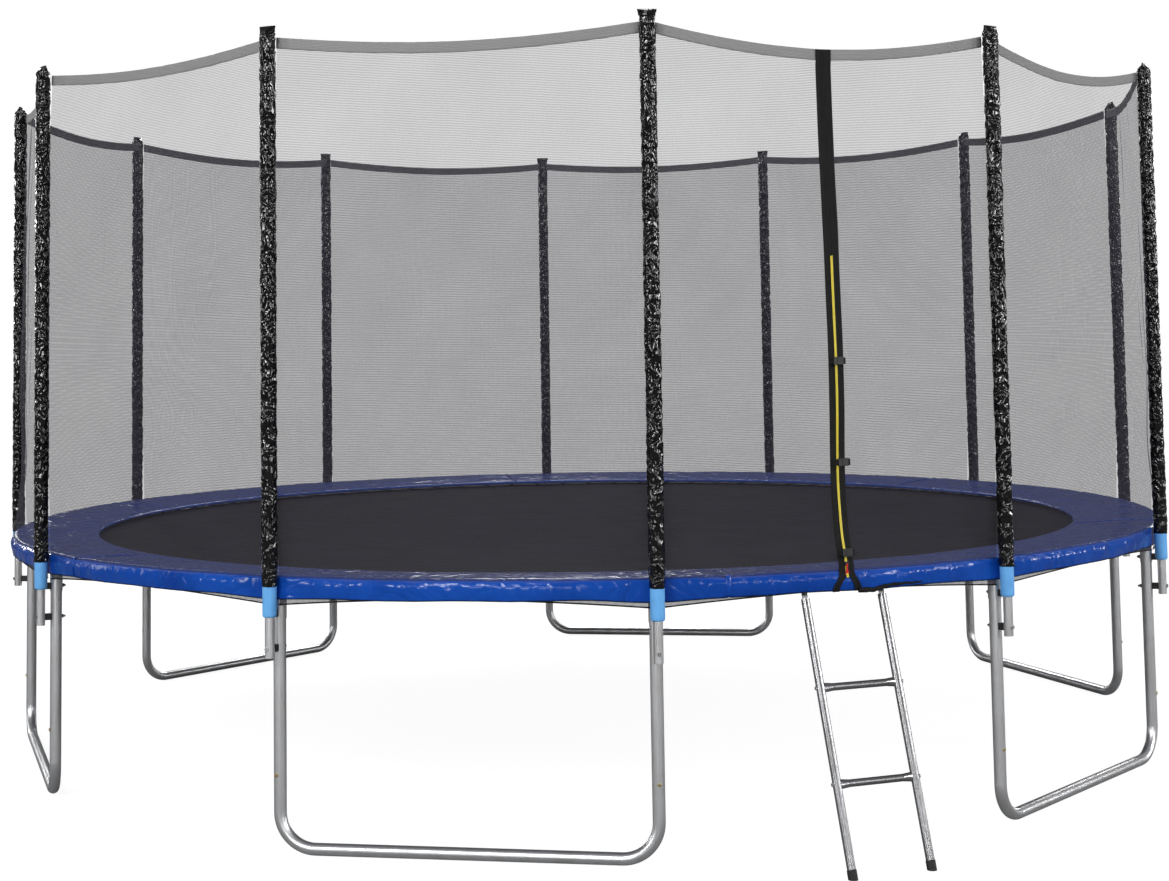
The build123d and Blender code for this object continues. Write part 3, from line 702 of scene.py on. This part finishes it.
def sector_piece(name, i, parts, slot, cad, flat=False, thick=0.0):
    # the same small part at each of the sector's springs, joined
    verts, faces = gather(parts)
    cloth = [(p[0], p[1]) for p in verts] if flat else None
    obj = mesh_piece(f"{name}_{i + 1:02d}", verts, faces, slot, body=None, cloth=cloth, thick=thick)
    sector_blend(obj)
    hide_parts(cad)


def sector_blend(obj):
    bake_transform(obj)


def disc_sector(mid, r0, r1, count, height):
    # rows between two radii with height(j) the z of row j; a sector from 0 starts in one point
    verts, faces, cloth = [], [], []
    first = 1 if r0 == 0.0 else 0
    if first:
        verts.append((0, 0, height(0)))
        cloth.append((0, 0))
        faces += [(0, first + k, first + k + 1) for k in range(ACROSS_SECTOR)]
    for j in range(first, count + 1):
        r = mix(r0, r1, j / count)
        for k in range(ACROSS_SECTOR + 1):
            a = mid - SECTOR / 2 + SECTOR * k / ACROSS_SECTOR
            verts.append(at(r, a, height(j)))
            cloth.append((math.radians(a) * r, r))
    w = ACROSS_SECTOR + 1
    for j in range(count - first):
        for k in range(ACROSS_SECTOR):
            o = first + j * w + k
            faces.append((o, o + w, o + w + 1, o + 1))
    return verts, faces, cloth


def bed_piece(name, i, mid, r0, r1, count, height, slot, cad):
    verts, faces, cloth = disc_sector(mid, r0, r1, count, height)
    obj = mesh_piece(f"{name}_{i + 1:02d}", verts, faces, slot, body=None, cloth=cloth)
    sector_blend(obj)
    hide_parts(cad)


def bed_height(j):
    return MAT_TOP - 0.001


def border_height(j):
    # three stitched channels
    return MAT_TOP + 0.0012 + 0.0006 * abs(math.sin(math.pi * j / 8 * 3))


for i in range(SECTORS):
    mid = SECTOR / 2 + SECTOR * i
    places = [mid + SPRING_STEP * (k - 1.5) for k in range(SPRINGS_EACH)]
    sector_piece("springs", i, [p for a in places for p in spring(a)], "spring_steel", "springs")
    sector_piece("mat_rings", i, [ring_wire(a) for a in places], "spring_steel", "mat_rings")
    tabs = [ring_tab(a) for a in places]
    sector_piece("mat_ring_tabs", i, tabs, "webbing", "mat_ring_tabs", flat=True, thick=0.0012)
    bed_piece("mat_sector", i, mid, 0.0, MAT_R, 40, bed_height, "mat_fabric", "jumping_mat")
    inner, outer = MAT_R - BORDER_WIDTH, MAT_R - 0.001
    bed_piece("mat_border", i, mid, inner, outer, 8, border_height, "webbing", "mat_border")

# ------------------------------------------------------------------ the net
HALF_PANEL = 14.6
HALF_CHORD = 0.62
Z_NET_FULL = 2.6925
COLUMNS = [-1 + 2 * k / 48 for k in range(49)]


def top_z(panel, u):
    # sagging top edge, u from -1 to 1 between two poles
    return Z_NET_POLE_TOP - TOP_SAG[panel] * (1 - abs(u) ** 1.9)


def low_z(u):
    # bottom edge, tied down at each pole
    return mix(Z_NET_POLE_LOW, Z_SKIRT + 0.004, 1 - abs(u) ** 1.8)


def net_point(panel, u, z):
    # u from -1 to 1 across the panel, z the height
    a = PANELS[panel] + HALF_PANEL * u
    if z <= Z_PAD_EDGE:
        return at(NET_LOW_R, a, z)
    up = (z - Z_PAD_EDGE) / (Z_NET_FULL - Z_PAD_EDGE)
    t = math.radians(HALF_PANEL * u)
    chord = corner_r(z) * math.cos(math.radians(HALF_PANEL)) / math.cos(t)
    straight = mix(NET_LOW_R, chord, min(max(up, 0), 1))
    bow = 0.018 * (1 - u * u) * math.sin(math.pi * min(up, 1.0))
    # pulled in a little above the pad, so it flares out over the pad's edge
    flare = 0.030 * (1 - u * u) * math.exp(-(((up - 0.16) / 0.13) ** 2)) * smooth(up / 0.06)
    slack = wave(u * 3.0 + panel * 5, z * 1.1, 11, 0.55) * 0.012 * (1 - u**4)
    slack *= smooth(up / 0.1) * smooth((1 - up) / 0.08)
    pleat = wave(u * 9.0 + panel * 3, z * 0.6, 17, 0.5) * 0.004 * smooth(up / 0.1)
    return at(straight - bow - flare + slack + pleat, a, z)


def off_net(panel, u, z, gap):
    # a point that stands outside the net by the gap
    p = Vector(net_point(panel, u, z))
    return tuple(p + Vector((p.x, p.y, 0)).normalized() * gap)


def no_datum(u):
    return 0.0


def net_strip(panel, count, height, gap, datum=no_datum):
    # rows up one panel: height(u, s) and gap(s), s from 0 to 1; datum(u) is where the cloth measures from
    rows, cloth = [], []
    for j in range(count + 1):
        s = j / count
        heights = [height(u, s) for u in COLUMNS]
        rows.append([off_net(panel, u, z, gap(s)) for u, z in zip(COLUMNS, heights)])
        cloth.append([(u * HALF_CHORD, z - datum(u)) for u, z in zip(COLUMNS, heights)])
    return rows, cloth


def net_panel(i):
    def high(u):
        return top_z(i, u)

    def panel_z(u, s):
        # closer rows over the skirt
        if s < 0.2:
            return mix(low_z(u), Z_PAD_EDGE, s / 0.2)
        return mix(Z_PAD_EDGE, high(u) - 0.002, (s - 0.2) / 0.8)

    def hem_z(u, s):
        return high(u) - HEM_H + HEM_H * s

    def hem_gap(s):
        return 0.0012 + 0.0009 * math.sin(math.pi * s)

    rows, cloth = net_strip(i, 64, panel_z, lambda s: 0.0)
    panel = grid_piece(f"net_panel_{i + 1:02d}", rows, cloth, "net")
    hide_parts("net_panels", "net_lower_band")
    # ribbed tape along the top
    rows, cloth = net_strip(i, 6, hem_z, hem_gap, high)
    top = grid_piece(f"net_top_hem_{i + 1:02d}", rows, cloth, "grey_webbing", thick=0.0016)
    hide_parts("net_top_hem")
    # doubled net along the bottom, with a cord through it
    rows, cloth = net_strip(i, 4, lambda u, s: low_z(u) + 0.032 * s, lambda s: -0.0009)
    low = grid_piece(f"net_bottom_hem_{i + 1:02d}", rows, cloth, "net", "net_hem")
    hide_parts("net_bottom_cord")
    verts, faces = tube([off_net(i, u, low_z(u), 0.001) for u in COLUMNS], 0.0026, 6)
    cloth = tube_cloth(verts, 6, 0.002, 0.026)
    cord = mesh_piece(f"net_cord_{i + 1:02d}", verts, faces, "webbing", cloth=cloth)
    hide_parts("net_bottom_cord")


for i in range(STATIONS):
    net_panel(i)

# ------------------------------------------------------------------ the door: tapes, zip and buckle tapes
DOOR_R = 2.45
Z_ZIP_LOW, Z_ZIP_TOP, Z_SPLIT = 0.905, 1.95, 0.925
Z_BAND_TOP = 2.6255
BAND_HALF = 0.0272
UP_Y = 0.0828  # how much the door leans inward with height


def door_point(x, z, off):
    # on the door's outer face, x sideways from the zip
    turned = math.degrees(x / DOOR_R)
    net_y = net_point(0, turned / HALF_PANEL, min(z, 2.62))[1]
    if z < SKIRT_TOP:
        y = min(net_y, -skirt_r(turned, z))
    else:
        y = min(net_y, mix(-skirt_r(turned, 0.925), net_y, smooth((z - SKIRT_TOP) / 0.03)))
    over_hem = 0.003 * smooth((z - 2.57) / 0.02)
    return (x, y - off - over_hem, z)


def door_tape(name, side):
    rows, cloth = [], []
    count = 150
    for j in range(count + 1):
        z = mix(Z_SKIRT - 0.003, Z_BAND_TOP, j / count)
        # the two halves part below the end of the zip
        part = 0.026 * smooth((Z_SPLIT - z) / 0.06)
        gap = 0.0002 if z > Z_ZIP_TOP else 0.0016
        wobble = 0.0016 * wave(z, 1.0, 5 + side, 0.2)
        row, c = [], []
        for k in range(7):
            x = side * (gap + part + (BAND_HALF - gap) * k / 6) + (wobble if k == 6 else 0)
            edge = 0.0006 * math.cos(2 * math.pi * k / 6)
            row.append(door_point(x, z, 0.0016 + edge))
            c.append((0.0045 * k, z))
        rows.append(row)
        cloth.append(c)
    obj = grid_piece(name, rows, cloth, "webbing", thick=0.0014)
    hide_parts("door_band")
    return obj


left, right = door_tape("door_tape_left", -1), door_tape("door_tape_right", 1)


def foot_gather():
    # slack of the door's edge gathered along the foot of the skirt beside the zip
    steps, sides = 60, 10
    line = []
    for k in range(steps + 1):
        a = mix(1.0, 6.6, k / steps)
        # it climbs the skirt's face before the ladder's hook, which swings out below
        z = skirt_low(a) - 0.0005 + 0.011 * smooth((a - 2.4) / 1.4)
        r = skirt_r(a, z) + 0.0035
        line.append(at(r + 0.0015 * wave(a, 0, 31, 0.35), a, z + 0.002 * wave(a, 1, 37, 0.5)))
    around, faces = tube(line, 1.0, sides)
    verts = []
    for n, p in enumerate(around):
        k = n // sides
        centre = Vector(line[k])
        taper = 0.0075 * (1 - k / steps) + 0.0022
        lumps = 1 + 0.35 * wave(k * 0.13, n % sides, 41, 0.6)
        verts.append(tuple(centre + (Vector(p) - centre) * taper * lumps))
    cloth = tube_cloth(verts, sides, 0.002, 0.004)
    mesh_piece("door_foot_gather", verts, faces, "webbing", cloth=cloth)


def zip_teeth():
    # small blocks in two interlocking rows
    block = [(0, 1, 3, 2), (4, 6, 7, 5), (0, 4, 5, 1), (2, 3, 7, 6), (0, 2, 6, 4), (1, 5, 7, 3)]
    pitch, thick = 0.0032, 0.0019
    parts = []
    z, side = Z_ZIP_LOW, -1
    while z < Z_ZIP_TOP:
        xs, heights, offs = (-0.0006 * side, 0.0040 * side), (z, z + thick), (0.0030, 0.0043)
        parts.append(([door_point(x, h, o) for x in xs for h in heights for o in offs], block))
        z += pitch / 2
        side = -side
    verts, faces = gather(parts)
    teeth = mesh_piece("zipper_teeth", verts, faces, "yellow_zip", smooth_shade=False)
    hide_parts("zipper_coil")


def zip_tape(name, side):
    count = 90
    rows, cloth = [], []
    for k in range(count + 1):
        z = mix(Z_ZIP_LOW, Z_ZIP_TOP, k / count)
        rows.append([door_point(side * x, z, 0.0029) for x in (0.0002, 0.0022, 0.0042)])
        cloth.append([(0.002 * n, 0.0116 * k) for n in range(3)])
    grid_piece(name, rows, cloth, "yellow_zip", thick=0.0006)


foot_gather()
zip_teeth()
zip_tape("zipper_tape_left", -1)
zip_tape("zipper_tape_right", 1)

BUCKLE_X = -0.005
SOCKET_END, CLIP_END = 0.0243, 0.0139
TAPE_HALF = 0.0105


def buckle_tape(level, end, side, cad, body):
    # short tape from the buckle's bar back on to the door
    lo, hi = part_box(f"buckle_strap_{level}")
    middle = (lo[2] + hi[2]) / 2
    out, inn = -lo[1], -hi[1]
    x = (SOCKET_END if side > 0 else CLIP_END) + side * BUCKLE_X
    over = [(x + 0.0002, out - 0.0012), (x + 0.004, out - 0.0010), (x + 0.0068, out - 0.0030)]
    under = [(x + 0.0074, (out + inn) / 2), (x + 0.0074, inn + 0.0008), (x + 0.0060, inn + 0.0006)]
    profile = over + under
    rows, cloth = [], []
    for j in range(7):
        h = -TAPE_HALF + 2 * TAPE_HALF * j / 6
        # the buckle leans with the door
        rows.append([(side * x, -y + UP_Y * h, middle + h) for x, y in profile])
        cloth.append([(0.004 * n, h) for n in range(len(profile))])
    strap = grid_piece(f"buckle_tape_{level}_{end}", rows, cloth, "webbing", body=body, thick=0.0014)
    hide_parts(cad)


for level in LEVELS:
    buckle_tape(level, "socket", 1, "buckle_socket_straps", "frame")
    buckle_tape(level, "clip", -1, f"buckle_strap_{level}", f"clip_{level}")

# ------------------------------------------------------------------ floor, light and camera
bpy.ops.mesh.primitive_plane_add(size=1500, location=(0, 0, -0.002))
floor = bpy.context.object
floor.name = "floor"
mat, tree, shader = material("floor")
shader.inputs["Roughness"].default_value = 0.9
shader.inputs["Specular IOR Level"].default_value = 0.0
shader.inputs["Emission Color"].default_value = (1, 1, 1, 1)
# near white to the camera, and dull to everything that it lights
lit = node(tree, "ShaderNodeLightPath").outputs["Is Camera Ray"]
tree.links.new(math_node(tree, "MULTIPLY", lit, 0.93), shader.inputs["Emission Strength"])
cloudy = noise_tex(tree, object_coords(tree), 0.6, 2)
tree.links.new(ramp(tree, cloudy, (0.3, grey(0.22)), (0.7, grey(0.24))), shader.inputs["Base Color"])
floor.data.materials.append(mat)

STRIPS, STRIP_LEVEL, ROOM_LEVEL = 7.0, 6.5, 0.14
scene = bpy.context.scene
scene.view_settings.view_transform = "Standard"
scene.view_settings.look = "None"
world = bpy.data.worlds.new("studio")
scene.world = world
world.use_nodes = True
tree = world.node_tree
tree.nodes.clear()
out = tree.nodes.new("ShaderNodeOutputWorld")
# upright bright strips in a dim room to light the piece, and plain white for the camera
direction = node(tree, "ShaderNodeTexCoord").outputs["Generated"]
part = node(tree, "ShaderNodeSeparateXYZ", {"Vector": direction})
around = math_node(tree, "ARCTAN2", part.outputs[0], part.outputs[1])
bands = math_node(tree, "COSINE", math_node(tree, "MULTIPLY", around, STRIPS))
strips = node(tree, "ShaderNodeMapRange", {"Value": bands, "From Min": 0.96, "From Max": 0.98}).outputs[0]
ends = {"Value": part.outputs[2], "From Min": 0.6, "From Max": 0.5}
below = node(tree, "ShaderNodeMapRange", ends).outputs[0]
bright = math_node(tree, "MULTIPLY", math_node(tree, "MULTIPLY", strips, below), STRIP_LEVEL)
strength = math_node(tree, "ADD", bright, ROOM_LEVEL)
dim = node(tree, "ShaderNodeBackground", {"Color": (1, 1, 1, 1), "Strength": strength})
white = node(tree, "ShaderNodeBackground", {"Color": (1, 1, 1, 1), "Strength": 1.0})
seen = node(tree, "ShaderNodeLightPath").outputs["Is Camera Ray"]
both = node(tree, "ShaderNodeMixShader", {0: seen})
tree.links.new(dim.outputs[0], both.inputs[1])
tree.links.new(white.outputs[0], both.inputs[2])
tree.links.new(both.outputs[0], out.inputs[0])


def lamp(name, where, target, size, power):
    data = bpy.data.lights.new(name, "AREA")
    data.shape, data.size, data.energy = "DISK", size, power
    obj = bpy.data.objects.new(name, data)
    scene.collection.objects.link(obj)
    obj.location = where
    obj.rotation_euler = (Vector(target) - Vector(where)).to_track_quat("-Z", "Y").to_euler()
    obj.visible_camera = False


lamp("key", (-7.5, -8.0, 6.0), (0, -1, 1.2), 2.6, 360)
lamp("fill", (6.5, -7.5, 4.0), (0, -1, 1.0), 2.0, 190)
lamp("front_left", (-7.0, -11.5, 3.0), (0, 0, 1.5), 1.7, 120)
lamp("front_right", (1.5, -13.0, 3.4), (0, 0, 1.5), 1.7, 120)
lamp("side_left", (-10.0, -3.0, 2.5), (0, 0, 1.5), 1.3, 80)
lamp("side_right", (9.0, -4.0, 2.2), (0, 0, 1.5), 1.3, 80)
lamp("back", (3.0, 9.0, 6.0), (0, 0, 1.0), 2.4, 220)
lamp("back_left", (-6.0, 8.0, 3.0), (0, 0, 1.0), 1.6, 100)
lamp("top", (0, 0, 9.0), (0, 0, 0), 3.0, 130)

# place, aim, roll and lens that put the poles and leg bases where the photograph has them
CAMERA_AT = (-2.9046, -7.9184, 1.6843)
CAMERA_AIM = (0.34375, 0.93759, -0.05228)
ROLL = 0.0156
LENS = 58.38
camera = bpy.data.objects.new("camera", bpy.data.cameras.new("camera"))
scene.collection.objects.link(camera)
camera.data.sensor_width = 36
camera.data.lens = LENS
camera.data.clip_end = 200
forward = Vector(CAMERA_AIM).normalized()
sideways = forward.cross(Vector((0, 0, 1))).normalized()
drop = forward.cross(sideways)
right_axis = math.cos(ROLL) * sideways + math.sin(ROLL) * drop
down_axis = -math.sin(ROLL) * sideways + math.cos(ROLL) * drop
turn = Matrix((right_axis, -down_axis, -forward)).transposed()
camera.matrix_world = Matrix.Translation(CAMERA_AT) @ turn.to_4x4()
scene.camera = camera
